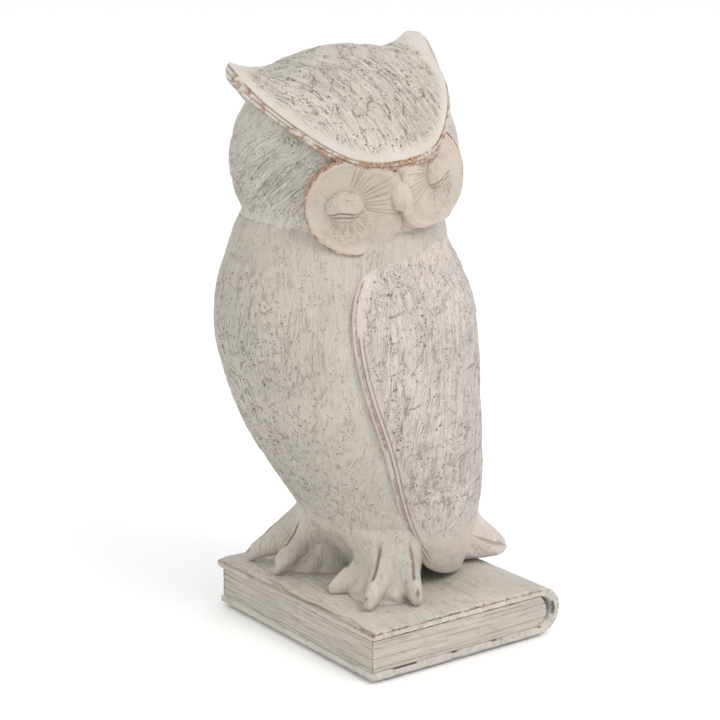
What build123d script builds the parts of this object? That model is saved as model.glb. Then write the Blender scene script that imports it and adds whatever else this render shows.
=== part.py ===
from build123d import *
import os

# A standing owl on a closed book, cast in resin as separate castings that are pinned and
# glued together. The frame: X runs along the book's spine, -Y is its fore-edge and the way
# the owl's breast faces, +Z is up, and the origin is the centre of the felt's underside.
# The owl's own left is +X, and its head is turned to that side.

os.makedirs("parts", exist_ok=True)

# ---- book, mm ----
book_length = 114.0          # along the spine
book_depth = 98.0            # from the fore-edge to where a half-round spine would end
book_thickness = 20.8
board_thickness = 4.0
spine_swell = 1.5            # how much fuller than half-round the spine is
page_back_bulge = 4.6        # how far the page block's rounded back stands out
page_end_recess = 0.5        # pages behind the boards' ends
fore_edge_recess = 0.9       # pages behind the fore-edge, under the overhanging lip
lip_overhang = 1.6           # how far the upper board's lip runs out at the far corner
flush_page_length = 69.3     # stretch of pages that is flush with the fore-edge
page_wall = 3.0

# ---- felt and plug, mm ----
felt_thickness = 1.5
felt_inset = 4.0
felt_corner = 5.0
plug_radius = 9.0
plug_length = 7.0
plug_lip = 1.2
plug_lip_thickness = 1.5
plug_y = -2.0

# ---- body, mm ----
leg_height = 30.5            # from the book to the joint under the torso
torso_height = 126.0         # from that joint to the neck
body_width = 99.0            # widest across the torso, without the wings
body_depth = 105.6           # deepest through the torso
wing_proud = 3.6             # how far the wings stand out from the torso
wing_thickness = 9.0         # of the wing's blade below the torso
wing_clearance = 2.2         # under the wing tips
wing_back_gap = 3.0          # from each wing to the middle of the back
tail_width = 45.0
tail_reach = 54.0            # from the frame's middle to the tail's end
tail_clearance = 0.3         # under the tail
claw_radius = 2.6
shell_wall = 5.0
end_wall = 11.0              # closed ends of the hollow castings, where the dowels sit

# ---- head, mm and degrees ----
head_length = 92.0           # front to back
head_width = 93.5
head_height = 86.0
head_turn = 79.0             # from straight ahead, to the owl's left
head_nod = 3.7
head_tilt = 6.0
face_tilt = 10.0             # the discs lean this much more than the skull
brow_proud = 2.4             # how far the brow stands out from the skull
brow_drop = 25.0             # height of the brow's bow, from its middle to the ears
ear_reach = 60.0             # from the head's centre to the ear tips
ear_tip_radius = 4.8
left_ear_lift = 1.5          # the left ear stands this much higher
disc_radius = 19.6
disc_proud = 4.4             # face of each disc in front of the skull
disc_dish = 1.4
disc_splay = 29.0            # each disc is turned this far out
disc_spread = 17.8           # from the middle of the face to each disc's centre
eye_width = 15.4
eye_height = 12.6
eye_rise = 3.6
beak_length = 23.0
beak_width = 9.6

# ---- joining pins, mm ----
glue_gap = 0.1
neck_dowel_radius = 8.0
neck_dowel_length = 18.0
neck_y = -24.0
leg_rod_radius = 3.0
leg_rod_y = -9.0
wing_pin_radius = 2.0
wing_pin_length = 6.4
joint_gap = 0.15             # half the parting line between the two legs

# ---- levels and places that follow from them ----
book_bottom = felt_thickness
book_top = book_bottom + book_thickness
hip = book_top + leg_height
neck = hip + torso_height
body_height = neck - book_top
half_width = body_width / 2
half_depth = body_depth / 2
half_book = book_length / 2
spine_radius = book_thickness / 2
fore_edge = -book_depth / 2
spine_centre = book_depth / 2 - spine_radius
page_bottom = book_bottom + board_thickness
page_top = book_top - board_thickness
leg_x = 0.4 * half_width
half_head = (head_length / 2, head_width / 2, head_height / 2)
disc_forward = 0.91 * half_head[0] + disc_proud
disc_level = -0.145 * half_head[2]

# Torso rings: share of the torso's height, centre in Y, share of half width, share of half depth.
torso_rings = [
    (0.00, -6.0, 0.715, 0.585),
    (0.13, -8.0, 0.82, 0.75),
    (0.31, -15.0, 0.93, 0.90),
    (0.50, -20.5, 0.99, 0.985),
    (0.68, -24.5, 1.00, 1.00),
    (0.86, -26.5, 0.93, 0.90),
    (1.00, neck_y, 0.83, 0.80),
]
# Wing rings: the same, by the share of the height from the book to the neck.
wing_rings = [
    (0.00, 8.0, 0.47, 0.49),
    (0.10, 4.5, 0.65, 0.57),
    (0.20, 1.5, 0.765, 0.665),
    (0.32, -4.5, 0.865, 0.78),
    (0.45, -12.7, 0.945, 0.895),
    (0.60, -18.7, 1.00, 0.97),
    (0.72, -21.8, 1.015, 1.00),
    (0.84, -23.6, 0.965, 0.945),
    (0.94, -24.8, 0.855, 0.83),
    (1.00, neck_y, 0.77, 0.75),
]


def ring(z, centre_y, half_x, half_y, centre_x=0.0):
    """A level ellipse at height z."""
    return Plane(origin=(centre_x, centre_y, z)) * Ellipse(half_x, half_y)


def slab(bottom, top):
    """Everything between two levels."""
    reach = 4 * (book_length + book_depth)
    return Pos(0, 0, (bottom + top) / 2) * Box(reach, reach, top - bottom)


def rod(radius, start, direction, length):
    """A round rod from a start point along a direction."""
    middle_bottom = (Align.CENTER, Align.CENTER, Align.MIN)
    return Plane(origin=start, z_dir=direction) * Cylinder(radius, length, align=middle_bottom)


def ellipsoid(half_x, half_y, half_z):
    """A sphere stretched to three half lengths."""
    return scale(Sphere(1), by=(half_x, half_y, half_z))


def side_view(shares):
    """Points of a side view, from shares of the half depth and of the body's height."""
    return [(y * half_depth, book_top + z * body_height) for y, z in shares]


def save(name, shape):
    """Write one node's solids."""
    export_step(shape, f"parts/{name}.step")


# ---- base: felt, boards, pages, plug ----
def felt_base():
    """A flat felt sheet with round corners under the lower board."""
    sheet = RectangleRounded(book_length - 2 * felt_inset, book_depth - 2 * felt_inset, felt_corner)
    return extrude(sheet, felt_thickness)


def book_profile(margin, back_bulge):
    """The side view of a book with a rounded back, as a face in the YZ plane."""
    low = book_bottom + margin
    high = book_top - margin
    outline = Polyline((spine_centre, low), (fore_edge, low), (fore_edge, high), (spine_centre, high))
    back = ThreePointArc((spine_centre, high), (spine_centre + back_bulge, (low + high) / 2), (spine_centre, low))
    return Plane.YZ * make_face(outline + back)


leg_rod_spots = [(leg_x, leg_rod_y), (-leg_x, leg_rod_y)]
rod_foot = page_bottom + page_wall
rod_length = hip + end_wall - page_wall - rod_foot


def leg_rod(x, y, gap=0.0):
    """A steel rod from the page block up through a leg into the torso's floor."""
    return rod(leg_rod_radius + gap, (x, y, rod_foot), (0, 0, 1), rod_length)


def pour_plug(gap=0.0):
    """The stopper of the pour hole, with a lip that sits flush in the lower board."""
    stem = rod(plug_radius + gap, (0, plug_y, book_bottom), (0, 0, 1), plug_length)
    lip = rod(plug_radius + plug_lip + gap, (0, plug_y, book_bottom), (0, 0, 1), plug_lip_thickness)
    return stem + lip


def book_case():
    """Two boards and the rounded spine, in one wrap, bored for the rods and the plug."""
    outside = extrude(book_profile(0, spine_radius + spine_swell), half_book, both=True)
    inside = extrude(
        book_profile(board_thickness, spine_radius + spine_swell - board_thickness), book_length, both=True)
    lip_start = half_book - flush_page_length
    lip = extrude(make_face(Polyline(
        (lip_start, fore_edge), (-half_book, fore_edge - lip_overhang),
        (-half_book, fore_edge), (lip_start, fore_edge))), board_thickness)
    case = (outside + Pos(0, 0, page_top) * lip) & slab(book_bottom, book_top)
    case = case - inside - pour_plug(glue_gap)
    for x, y in leg_rod_spots:
        case -= leg_rod(x, y, glue_gap)
    return case


def page_block():
    """The hollow page block: rounded back, stepped fore-edge, posts round the rods."""
    half = half_book - page_end_recess
    block = extrude(book_profile(board_thickness, page_back_bulge), half, both=True)
    notch_length = book_length - flush_page_length
    notch = Pos(-half_book + notch_length / 2, fore_edge, book_thickness / 2) * Box(
        notch_length, 2 * fore_edge_recess, 2 * book_thickness)
    cavity = Pos(0, 0, (page_bottom + page_top) / 2) * Box(
        2 * half - 4 * page_wall, book_depth - 2 * spine_radius - 4 * page_wall,
        page_top - page_bottom - 2 * page_wall)
    for x, y in leg_rod_spots:
        cavity -= rod(leg_rod_radius + page_wall, (x, y, page_bottom), (0, 0, 1), book_thickness)
    block = block - notch - cavity - pour_plug(glue_gap)
    for x, y in leg_rod_spots:
        block -= leg_rod(x, y, glue_gap)
    return block


# ---- legs and feet ----
def toe(start, tip, root_radius):
    """A toe that tapers from the ankle down to its claw, hollowed along its back."""
    way = (tip - start).normalized()
    across = way.cross(Vector(0, 0, 1))
    knuckle = start + (tip - start) * 0.55 - Vector(0, 0, 0.12 * leg_height)
    stations = [(start, root_radius), (knuckle, 0.62 * root_radius), (tip, claw_radius)]
    return loft([Plane(origin=spot, x_dir=across, z_dir=way) * Circle(radius) for spot, radius in stations])


def belly_root():
    """The mass between the legs: it runs from the belly down and back to the book."""
    return loft([
        ring(book_top, 0.06 * half_depth, 0.34 * half_width, 0.20 * half_depth),
        ring(book_top + 0.5 * leg_height, 0, 0.34 * half_width, 0.27 * half_depth),
        ring(hip, -0.11 * half_depth, 0.36 * half_width, 0.48 * half_depth)])


def leg(side, toe_tips, root_radius):
    """One leg: a shaft that widens to the torso above and to three toes below."""
    shaft = loft([
        ring(book_top, -0.25 * half_depth, 0.34 * half_width, 0.30 * half_depth, side * leg_x),
        ring(book_top + 0.5 * leg_height, -0.21 * half_depth, 0.30 * half_width, 0.29 * half_depth, side * leg_x),
        ring(book_top + 0.8 * leg_height, -0.15 * half_depth, 0.345 * half_width, 0.44 * half_depth,
             side * 0.9 * leg_x),
        ring(hip, -6.0, 0.355 * half_width, 0.55 * half_depth, side * 0.88 * leg_x),
    ])
    for x_share, y_share in toe_tips:
        tip = Vector(x_share * half_width, y_share * half_depth, book_top + 0.6 * claw_radius)
        ankle = Vector(side * 0.85 * leg_x + 0.15 * tip.X, -0.22 * half_depth, book_top + 0.62 * leg_height)
        shaft += toe(ankle, tip, root_radius)
    shaft += belly_root()
    own_half = Pos(side * (book_length / 2 + joint_gap), 0, 0) * Box(book_length, 4 * book_depth, 4 * neck)
    return (shaft & slab(book_top, hip) & own_half) - leg_rod(side * leg_x, leg_rod_y, glue_gap)


# Claw tips, as shares of the body's half width and half depth.
left_toe_tips = [(0.19, -0.70), (0.73, -0.70), (0.89, -0.31)]
right_toe_tips = [(-0.36, -0.68), (-0.57, -0.80), (-0.93, -0.80)]


# ---- torso and wings ----
def torso_form(grow=0.0):
    """The torso's egg shape, grown or shrunk by a margin."""
    return loft([
        ring(hip + share * torso_height, centre, wide * half_width + grow, deep * half_depth + grow)
        for share, centre, wide, deep in torso_rings
    ])


def wing_form(grow=0.0):
    """The shape that both wings' outer faces lie on, grown or shrunk by a margin."""
    return loft([
        ring(book_top + share * body_height, centre, wide * (half_width + wing_proud) + grow,
             deep * (half_depth + 0.7 * wing_proud) + grow)
        for share, centre, wide, deep in wing_rings
    ])


def left_wing():
    """The left wing: a leaf laid round the side and back, its blunt tip over the book."""
    front_edge = side_view([
        (-0.42, 1.02), (-0.76, 0.935), (-0.956, 0.80), (-0.85, 0.60), (-0.62, 0.42), (-0.30, 0.195), (0.10, 0.03)])
    tip_level = book_top + wing_clearance
    front = Spline(*front_edge)
    rest = Polyline(
        front_edge[-1], (0.21 * half_depth, tip_level), (0.64 * half_depth, tip_level),
        (2 * half_depth, book_top + 0.25 * body_height), (2 * half_depth, 1.02 * neck), front_edge[0])
    from_side = extrude(Plane.YZ * make_face(front + rest), book_length)
    from_back = extrude(Plane.XZ * make_face(Polyline(
        (0.26 * half_width, 0), (wing_back_gap, 0.4 * neck), (wing_back_gap, 2 * neck),
        (book_length, 2 * neck), (book_length, 0), (0.26 * half_width, 0))), book_length, both=True)
    blade = wing_form() - wing_form(-wing_thickness)
    return (blade & from_side & from_back) - slab(neck, 2 * neck)


def tail():
    """A short fan that sweeps out from the back and hangs just over the book."""
    top = Spline(
        (0.64 * tail_reach, book_top + 0.30 * body_height), (0.66 * tail_reach, book_top + 0.215 * body_height),
        (0.77 * tail_reach, book_top + 0.145 * body_height), (0.94 * tail_reach, book_top + 0.095 * body_height))
    tip_level = book_top + tail_clearance
    end = ThreePointArc(
        top @ 1, (tail_reach, book_top + 0.06 * body_height), (0.92 * tail_reach, tip_level))
    under = Polyline(end @ 1, (0.3 * tail_reach, tip_level), (0.3 * tail_reach, (top @ 0).Y), top @ 0)
    profile = extrude(Plane.YZ * make_face(top + end + under), tail_width, both=True)
    half = tail_width / 2
    fan = extrude(make_face(Polyline(
        (-0.7 * half, 0), (-0.75 * half, 0.62 * tail_reach), (-half, 0.9 * tail_reach),
        (-0.75 * half, 1.1 * tail_reach), (0.75 * half, 1.1 * tail_reach), (half, 0.9 * tail_reach),
        (0.75 * half, 0.62 * tail_reach), (0.7 * half, 0), (-0.7 * half, 0))), neck)
    return profile & fan


# ---- head: skull, brow with ears, face discs, eyes, beak ----
head_place = (
    Pos(2.0, neck_y + 0.6, neck + 0.63 * half_head[2])
    * Rot(0, 0, head_turn - 90) * Rot(0, head_nod, 0) * Rot(head_tilt, 0, 0))
face_place = head_place * Pos(0, 0, disc_level) * Rot(face_tilt, 0, 0) * Pos(0, 0, -disc_level)


def skull(grow=0.0):
    """The skull in its own axes: X forward, Y to the owl's left, Z up."""
    return ellipsoid(half_head[0] + grow, half_head[1] + grow, half_head[2] + grow)


def brow_height(side):
    """Height of the brow's lower edge, for a distance to the owl's left."""
    return 0.12 * half_head[2] + brow_drop * abs(side / (0.8 * half_head[1])) ** 2.5


def brow_region():
    """All that lies above the brow's edge, as a solid in the head's own axes."""
    reach = 1.2 * half_head[1]
    edge = Spline([(share * reach / 6, brow_height(share * reach / 6)) for share in range(-6, 7)])
    lid = Polyline(edge @ 1, (reach, 4 * half_head[2]), (-reach, 4 * half_head[2]), edge @ 0)
    return extrude(Plane.YZ * make_face(edge + lid), head_length, both=True)


def ear(side):
    """One ear tuft: a rounded lobe at the end of the brow."""
    lift = left_ear_lift if side > 0 else 0
    tip = Vector(-0.21 * ear_reach, side * 0.70 * ear_reach, 0.67 * ear_reach + lift)
    root = Vector(0.12 * ear_reach, side * 0.36 * ear_reach, 0.34 * ear_reach)
    way = (tip - root).normalized()
    across = way.cross(Vector(1, 0, 0.3)).normalized()
    end = tip - way * ear_tip_radius
    stations = [(root, 3.3), (root + (tip - root) * 0.6, 2.1), (end, 1.02)]
    lobe = loft([
        Plane(origin=spot, x_dir=across, z_dir=way) * Circle(times * ear_tip_radius) for spot, times in stations])
    return lobe + Pos(end) * Sphere(ear_tip_radius)


def brow_crest():
    """The cap of the head: the brow that overhangs the face, and both ears."""
    cap = Pos(0.8 * brow_proud, 0, 0) * skull(0.8 * brow_proud)
    return (cap & brow_region()) + ear(1) + ear(-1) - skull()


def disc_place(side):
    """Where a face disc sits in the head: its Z looks out of the face, its X runs down."""
    return Pos(disc_forward, side * disc_spread, disc_level) * Rot(0, 0, side * disc_splay) * Rot(0, 90, 0)


def face_disc(side):
    """One round, slightly dished disc of the face."""
    depth = 0.4 * half_head[0]
    dish_radius = (disc_radius ** 2 + disc_dish ** 2) / (2 * disc_dish)
    disc = Pos(0, 0, -depth / 2) * Cylinder(disc_radius, depth)
    dish = Pos(0, 0, dish_radius - disc_dish) * Sphere(dish_radius)
    own_half = Pos(0, side * (head_width / 2 + joint_gap), 0) * Box(
        2 * head_length, head_width, 2 * head_height)
    return (disc_place(side) * (disc - dish)) & own_half


def eye(side):
    """A closed eye: a low dome on the disc, a little outside its middle."""
    outward = 0.2 * disc_radius
    dome = ellipsoid(eye_height / 2, eye_width / 2, eye_rise)
    return disc_place(side) * (Pos(-0.07 * disc_radius, side * outward, -disc_dish) * dome)


def beak():
    """A drop-shaped beak between the discs, narrow at the brow and hooked at the tip."""
    top = disc_level + 0.6 * beak_length
    rings = [
        Plane(origin=(disc_forward + out, 0, top - drop * beak_length), x_dir=(0, 1, 0), z_dir=(0, 0, -1))
        * Ellipse(wide * beak_width / 2, wide * 5.5)
        for drop, out, wide in [
            (0.0, 2.5, 0.62), (0.35, 6.0, 0.9), (0.65, 8.0, 1.0), (0.86, 8.0, 0.72), (1.0, 6.5, 0.3)]
    ]
    return loft(rings)


# ---- hollow castings, dowels and pins ----
def neck_dowel(gap=0.0):
    """The wooden dowel between the torso and the head."""
    foot = (0, neck_y, neck - neck_dowel_length / 2)
    return rod(neck_dowel_radius + gap, foot, (0, 0, 1), neck_dowel_length)


def wing_pins(side, gap=0.0):
    """Two steel pins through the torso's wall into one wing."""
    pins = Part()
    for share, centre, wide, _ in torso_rings[3:5]:
        start = side * (wide * half_width + wing_proud / 2 - wing_pin_length)
        spot = (start, centre, hip + share * torso_height)
        pins += rod(wing_pin_radius + gap, spot, (side, 0, 0), wing_pin_length)
    return pins


solid_torso = torso_form()
left_leg = leg(1, left_toe_tips, 10.5)
right_leg = leg(-1, right_toe_tips, 13.5)

solid_left_wing = left_wing() - solid_torso - left_leg - right_leg
solid_right_wing = mirror(left_wing(), about=Plane.YZ) - solid_torso - left_leg - right_leg
solid_tail = tail() - solid_torso - left_leg - right_leg - solid_left_wing - solid_right_wing

torso = solid_torso - (torso_form(-shell_wall) & slab(hip + end_wall, neck - end_wall))
torso -= neck_dowel(glue_gap)
torso = torso - wing_pins(1, glue_gap) - wing_pins(-1, glue_gap)
for x, y in leg_rod_spots:
    torso -= leg_rod(x, y, glue_gap)

solid_skull = head_place * skull()
head = solid_skull - slab(-neck, neck) - neck_dowel(glue_gap)
head -= (head_place * skull(-shell_wall)) & slab(neck + end_wall, 3 * neck)
above_brow = head_place * brow_region()
crest = head_place * brow_crest()
right_disc = (face_place * face_disc(-1)) - solid_skull - above_brow - solid_torso - solid_left_wing
left_disc = (face_place * face_disc(1)) - solid_skull - above_brow - solid_torso - solid_left_wing
right_eye = (face_place * eye(-1)) - right_disc - solid_skull
left_eye = (face_place * eye(1)) - left_disc - solid_skull
solid_beak = (face_place * beak()) - right_disc - left_disc - crest - solid_skull

save("felt_base", felt_base())
save("pour_plug", pour_plug())
save("book_case", book_case())
save("page_block", page_block())
save("left_leg", left_leg)
save("right_leg", right_leg)
save("left_leg_rod", leg_rod(*leg_rod_spots[0]))
save("right_leg_rod", leg_rod(*leg_rod_spots[1]))
save("torso", torso)
save("neck_dowel", neck_dowel())
save("left_wing", solid_left_wing - wing_pins(1, glue_gap))
save("right_wing", solid_right_wing - wing_pins(-1, glue_gap))
save("wing_pins", Compound(children=[*wing_pins(1).solids(), *wing_pins(-1).solids()]))
save("tail", solid_tail)
save("head", head)
save("brow_crest", crest)
save("left_face_disc", left_disc)
save("right_face_disc", right_disc)
save("left_eye", left_eye)
save("right_eye", right_eye)
save("beak", solid_beak)
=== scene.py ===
import math

import bmesh
import bpy
import numpy as np
from mathutils import Matrix, Vector


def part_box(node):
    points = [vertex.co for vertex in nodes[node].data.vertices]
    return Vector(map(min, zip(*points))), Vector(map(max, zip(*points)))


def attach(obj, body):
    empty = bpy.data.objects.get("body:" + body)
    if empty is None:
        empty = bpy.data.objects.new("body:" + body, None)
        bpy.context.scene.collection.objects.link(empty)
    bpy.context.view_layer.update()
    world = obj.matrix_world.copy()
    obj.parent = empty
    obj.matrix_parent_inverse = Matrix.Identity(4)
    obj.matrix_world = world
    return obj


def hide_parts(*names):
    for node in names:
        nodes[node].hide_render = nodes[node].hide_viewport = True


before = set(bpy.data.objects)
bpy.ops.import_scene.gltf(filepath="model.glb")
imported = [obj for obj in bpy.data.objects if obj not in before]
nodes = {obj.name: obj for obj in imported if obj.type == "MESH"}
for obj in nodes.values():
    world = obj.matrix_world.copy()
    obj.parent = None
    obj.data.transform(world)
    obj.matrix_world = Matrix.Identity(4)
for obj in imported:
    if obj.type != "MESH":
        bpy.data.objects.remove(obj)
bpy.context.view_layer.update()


# ---- felt base ----
# A thin sheet of grey felt, cut with a knife and glued under the lower board so that the
# casting doesn't scratch a shelf. It stays as the CAD node and gets a pressed-fibre finish.
def new_finish(name, roughness):
    """A node material with its shader, and a function that adds a node and wires its inputs.

    An input is called by its name, or i0, i1 and so on by its number. The function gives the
    added node's first output in use."""
    finish = bpy.data.materials.new(name)
    finish.use_nodes = True
    tree = finish.node_tree
    shader = tree.nodes["Principled BSDF"]
    shader.inputs["Roughness"].default_value = roughness

    def add(kind, settings=None, **inputs):
        made = shader if kind == "shader" else tree.nodes.new("ShaderNode" + kind)
        for key, value in (settings or {}).items():
            setattr(made, key, value)
        for key, value in inputs.items():
            number = key[1:]
            socket = made.inputs[int(number) if number.isdigit() else key.replace("_", " ")]
            if isinstance(value, bpy.types.NodeSocket):
                tree.links.new(value, socket)
            else:
                socket.default_value = value
        return next((socket for socket in made.outputs if socket.enabled), None)

    return finish, add


def step(add, value, low, high):
    """0 below low, 1 above high and smooth between; low above high turns it round."""
    return add("MapRange", {"interpolation_type": "SMOOTHSTEP"}, i0=value, i1=low, i2=high)


def calc(add, operation, first, second=0.0):
    """One Math node."""
    return add("Math", {"operation": operation}, i0=first, i1=second)


def tint(add, amount, first, second):
    """The first colour turned into the second by an amount."""
    return add("Mix", {"data_type": "RGBA"}, i0=amount, i6=first, i7=second)


def noise(add, where, scale, detail=2.0, rough=0.5, twist=0.0):
    """The value of a Noise Texture."""
    return add("TexNoise", None, Vector=where, Scale=scale, Detail=detail, Roughness=rough,
               Distortion=twist)


def object_place(add):
    """The place on the piece itself, in metres."""
    return add("TexCoord").node.outputs["Object"]


def felt_finish():
    """Matted fibres: fine stretched noise over soft clouds of two greys."""
    finish, add = new_finish("grey_felt", 0.95)
    place = object_place(add)
    fibres = noise(add, place, 2600.0, 6.0, 0.75, 1.2)
    clouds = noise(add, place, 60.0, 3.0)
    colour = tint(add, clouds, (0.20, 0.19, 0.17, 1), (0.27, 0.26, 0.235, 1))
    colour = tint(add, step(add, fibres, 0.45, 0.75), colour, (0.36, 0.35, 0.32, 1))
    relief = add("Bump", None, Strength=1.0, Distance=0.0004, Height=fibres)
    add("shader", None, Base_Color=colour, Normal=relief, Sheen_Weight=0.4)
    return finish


def dress(node, finish):
    """Gives a carried-over CAD node its finish in every material slot."""
    for slot in nodes[node].material_slots:
        slot.material = finish
    if not nodes[node].material_slots:
        nodes[node].data.materials.append(finish)


dress("felt_base", felt_finish())


# ---- pour plug ----
# The stopper of the hole that the resin was poured through: pale moulded rubber with a flange, pressed
# flush into the lower board and speckled with dust.
def plug_finish():
    """Moulded rubber: a satin skin with faint swirls, speckled with dust."""
    finish, add = new_finish("plug_rubber", 0.55)
    place = object_place(add)
    swirl = noise(add, place, 240.0, 4.0, 0.6, 0.8)
    dust_and_groove_shade = noise(add, place, 1800.0, 3.0, 0.7)
    colour = tint(add, swirl, (0.45, 0.42, 0.37, 1), (0.56, 0.53, 0.47, 1))
    colour = tint(add, step(add, dust_and_groove_shade, 0.62, 0.72), colour, (0.25, 0.22, 0.19, 1))
    relief = add("Bump", None, Strength=0.5, Distance=0.0002, Height=swirl)
    add("shader", None, Base_Color=colour, Normal=relief)
    return finish


dress("pour_plug", plug_finish())


# ---- rods and wing pins ----
# Mild steel rod cut to length: two stand in the book and carry the legs, four short ones
# hold the wings to the torso. Drawn steel, so fine lines run along it under a dull grey skin.
def steel_finish():
    """Drawn steel: stretched noise for the die lines, a few rust freckles."""
    finish, add = new_finish("drawn_steel", 0.38)
    place = object_place(add)
    along = add("Mapping", None, Vector=place, Scale=(1.0, 1.0, 0.04))
    lines = noise(add, along, 3000.0, 3.0, 0.6)
    rust = noise(add, place, 500.0, 4.0, 0.65)
    colour = tint(add, lines, (0.42, 0.42, 0.43, 1), (0.60, 0.60, 0.60, 1))
    colour = tint(add, step(add, rust, 0.60, 0.72), colour, (0.26, 0.13, 0.07, 1))
    relief = add("Bump", None, Strength=0.6, Distance=0.0001, Height=lines)
    add("shader", None, Base_Color=colour, Normal=relief, Metallic=1.0)
    return finish


steel = steel_finish()
for name in ("left_leg_rod", "right_leg_rod", "wing_pins"):
    dress(name, steel)


# ---- neck dowel ----
# A length of beech dowel glued into the torso and the head, with its pores showing as
# short dark flecks along the grain.
def beech_finish():
    """Beech: long growth bands with short darker flecks, all stretched along the dowel."""
    finish, add = new_finish("beech_dowel", 0.6)
    place = object_place(add)
    along = add("Mapping", None, Vector=place, Scale=(1.0, 1.0, 0.08))
    bands = noise(add, along, 320.0, 3.0, 0.5, 0.6)
    flecks = noise(add, along, 2400.0, 2.0, 0.5)
    colour = tint(add, bands, (0.47, 0.28, 0.15, 1), (0.60, 0.40, 0.23, 1))
    colour = tint(add, step(add, flecks, 0.62, 0.70), colour, (0.25, 0.13, 0.07, 1))
    relief = add("Bump", None, Strength=0.5, Distance=0.0001, Height=flecks)
    add("shader", None, Base_Color=colour, Normal=relief)
    return finish


dress("neck_dowel", beech_finish())


# ---- book case ----
# Both boards and the rounded spine of the closed book, cast in one. The resin was whitewashed
# over a terracotta ground: the wash lies brown in the tool marks and is rubbed off the edges.
def drift(points, seed):
    """Random heights on a whole-number lattice, 0 to 1, blended smoothly between its corners."""
    corner = np.floor(points)
    part = points - corner
    part = part * part * (3 - 2 * part)
    corner = corner.astype(np.int64)
    total = np.zeros(points.shape[:-1])
    for number in range(8):
        offset = np.array([number & 1, (number >> 1) & 1, number >> 2])
        key = (corner + offset) @ np.array([73856093, 19349663, 83492791]) + seed * 49979687
        key = (key ^ (key >> 13)) * 1274126177
        key = (key ^ (key >> 16)) & 0xFFFF
        total += key / 65535.0 * np.prod(np.where(offset, part, 1 - part), axis=-1)
    return total


def ease(value):
    """0 below 0, 1 above 1 and smooth between."""
    value = np.clip(value, 0, 1)
    return value * value * (3 - 2 * value)


def bump(away, width):
    """1 at no distance, falling off on both sides as a bell of a given width."""
    return np.exp(-((away / width) ** 2))


def quad_numbers(count, around):
    """Corner numbers of the faces of a grid whose rows close round."""
    row = np.arange(count - 1)[:, None] * around
    this = np.arange(around)
    following = (this + 1) % around
    corners = [row + this, row + following, row + around + following, row + around + this]
    return np.stack(corners, -1).reshape(-1, 4)


def turned_out(points, quads):
    """1 if the faces look out of the body that they close, -1 if they look in."""
    a, b, c, d = (points[quads[:, k]] for k in range(4))
    volume = np.einsum("ij,ij->i", a, np.cross(b, c)) + np.einsum("ij,ij->i", a, np.cross(c, d))
    return 1.0 if volume.sum() > 0 else -1.0


def outward(rows):
    """Unit normals of a grid of points whose rows close round."""
    across = np.roll(rows, -1, 1) - np.roll(rows, 1, 1)
    down = np.gradient(rows, axis=0)
    normal = np.cross(across, down)
    normal /= np.linalg.norm(normal, axis=-1, keepdims=True) + 1e-9
    count, around = rows.shape[:2]
    return normal * turned_out(rows.reshape(-1, 3), quad_numbers(count, around))


def write_mesh(name, points, faces, grain, marks, flat=0):
    """A mesh in metres from points in mm, with the grain and the marks of each point.

    The last faces, as many as flat says, are shaded flat, so the skin beside a cut end isn't."""
    mesh = bpy.data.meshes.new(name)
    mesh.from_pydata((points * 0.001).tolist(), [], faces)
    mesh.polygons.foreach_set("use_smooth", np.arange(len(faces)) < len(faces) - flat)
    for label, values in (("grain", grain), ("marks", marks)):
        layer = mesh.attributes.new(label, "FLOAT_VECTOR", "POINT")
        layer.data.foreach_set("vector", np.asarray(values, np.float32).ravel())
    mesh.update()
    return mesh


def put_piece(name, mesh, finish, stands_for):
    """Places a finished mesh as a piece of the figure that stands for CAD nodes."""
    piece = bpy.data.objects.new(name, mesh)
    bpy.context.scene.collection.objects.link(piece)
    mesh.materials.append(finish)
    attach(piece, "root")
    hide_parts(*stands_for)
    return piece


def skin_piece(name, rows, grain, marks, finish, stands_for, flat_ends=False):
    """A closed skin from a grid: its rows close round and both end rows are drawn to a point."""
    count, around = rows.shape[:2]
    body = count * around
    points, grain, marks = (
        np.vstack([grid.reshape(-1, 3), grid[0].mean(0), grid[-1].mean(0)])
        for grid in (rows, grain, marks))
    quads = quad_numbers(count, around)
    this = np.arange(around)
    following = (this + 1) % around
    last = body - around
    fans = np.vstack([
        np.stack([np.full(around, body), following, this], -1),
        np.stack([np.full(around, body + 1), last + this, last + following], -1)])
    if turned_out(points, quads) < 0:
        quads = quads[:, ::-1]
        fans = fans[:, ::-1]
    flat = len(fans) if flat_ends else 0
    mesh = write_mesh(name, points, quads.tolist() + fans.tolist(), grain, marks, flat)
    return put_piece(name, mesh, finish, stands_for)


def tooling(grain, depth, seed):
    """Height in mm, and wash in the grooves, of resin that was combed and flaked along its grain.

    Stretched noise, folded at its half height, gives ridges with sharp valleys at two widths. A
    third noise is cut off sharply, which leaves terraces like flaked plaster. Narrow grooves
    follow the half-height lines of a fourth one, where a fifth lets them."""
    ridges = np.minimum(np.abs(drift(grain * 0.30, seed) - 0.5), 0.24) - 0.12
    hairs = np.minimum(np.abs(drift(grain * 0.62, seed + 1) - 0.5), 0.2) - 0.1
    flakes = ease((drift(grain * 0.34, seed + 2) + 0.9 * hairs - 0.46) / 0.03)
    level = drift(grain * 0.36, seed + 3) + 0.2 * hairs - 0.5
    scratch = bump(level, 0.03) * ease((drift(grain * 0.22, seed + 4) - 0.45) / 0.12)
    height = depth * (2.4 * ridges + 1.3 * hairs + 0.42 * flakes - 0.55 * scratch)
    return height, 0.32 * scratch * np.minimum(depth, 1)


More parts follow.
